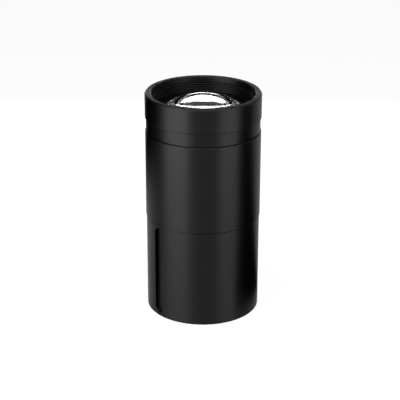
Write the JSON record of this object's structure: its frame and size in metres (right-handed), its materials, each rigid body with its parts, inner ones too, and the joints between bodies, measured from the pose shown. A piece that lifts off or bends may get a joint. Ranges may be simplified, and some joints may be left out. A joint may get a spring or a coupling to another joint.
{
  "type": "projection lens",
  "caption": "Projection lens with a plain black barrel, a keyed rear barrel for the lens holder, and a head that turns to focus the domed front glass.",
  "frame": {"origin": "centre of the rear face, on the surface that the lens stands on", "axes": "+Z along the optical axis towards the screen, -Y towards the camera of the picture"},
  "size_m": [0.0716, 0.0716, 0.1407],
  "materials": {
    "anodised_barrel": "black anodised, satin",
    "anodised_inner": "black anodised, matt",
    "optical_glass": "polished and coated",
    "rubber": "smooth",
    "pin_steel": "ground"
  },
  "bodies": {
    "barrel": {"rear_barrel": "anodised_barrel", "main_barrel": "anodised_barrel", "rear_cell": "anodised_inner", "aperture_plate": "anodised_inner", "rear_spacer_front": "anodised_inner", "rear_spacer_back": "anodised_inner", "rear_retaining_ring": "anodised_inner", "rear_lock_ring": "anodised_inner", "fourth_lens": "optical_glass", "fifth_lens": "optical_glass", "sixth_lens": "optical_glass", "seventh_lens": "optical_glass", "guide_pins": "pin_steel"},
    "carriage": {"focus_carriage": "anodised_inner", "front_retaining_ring": "anodised_inner", "front_lens": "optical_glass", "second_lens": "optical_glass", "lens_spacer": "anodised_inner", "third_lens": "optical_glass", "carriage_rear_ring": "anodised_inner", "carriage_baffle": "anodised_inner"},
    "head": {"focus_head": "anodised_barrel", "head_lock_ring": "anodised_inner", "damping_ring": "rubber"}
  },
  "joints": [
    {"name": "focus_slide", "type": "slide", "parent": "barrel", "child": "carriage", "axis": [0, 0, 1], "range_m": [0, 0.005]},
    {"name": "focus_turn", "type": "hinge", "parent": "carriage", "child": "head", "pos_m": [0, 0, 0.13], "axis": [0, 0, 1], "range_deg": [0, 300.5]}
  ],
  "couplings": [
    {"joint": "focus_turn", "follows": "focus_slide", "rad_per_m": 1047.2}
  ]
}
